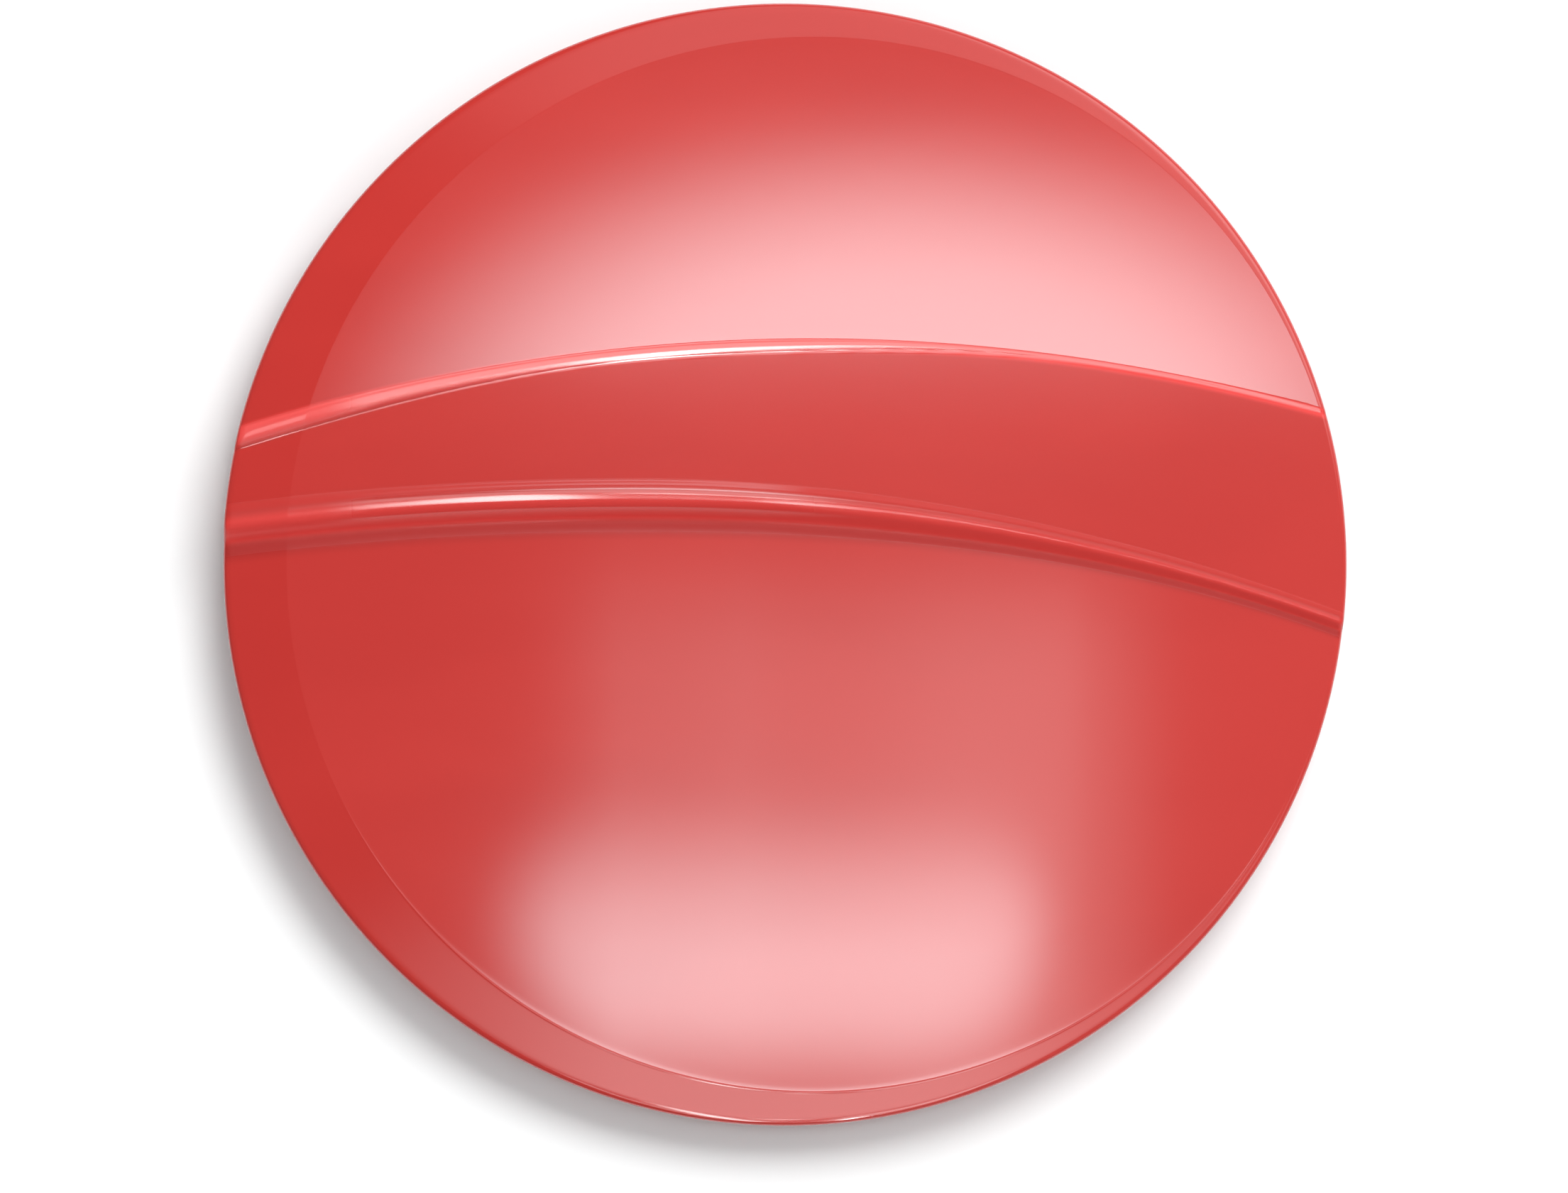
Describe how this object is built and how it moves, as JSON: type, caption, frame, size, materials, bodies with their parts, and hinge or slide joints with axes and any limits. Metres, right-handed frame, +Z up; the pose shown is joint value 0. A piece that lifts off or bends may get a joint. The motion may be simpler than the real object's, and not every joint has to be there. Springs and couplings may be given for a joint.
{
  "type": "flying disc",
  "caption": "Round throwing disc with a thin domed glossy top, sweeping moulded folds, a hollow underside and a soft grip rim.",
  "frame": {"origin": "centre of the circle that the rim rests on", "axes": "+Z up through the middle of the disc, +Y towards the crown above the upper fold, +X to the right"},
  "size_m": [0.274, 0.274, 0.032],
  "materials": {
    "gloss_shell": "high gloss, coral red",
    "satin_rim": "satin, coral red",
    "soft_grip": "soft matt, coral red"
  },
  "bodies": {
    "root": {"top_shell": "gloss_shell", "inner_rim": "satin_rim", "grip_ring": "soft_grip"}
  },
  "joints": []
}
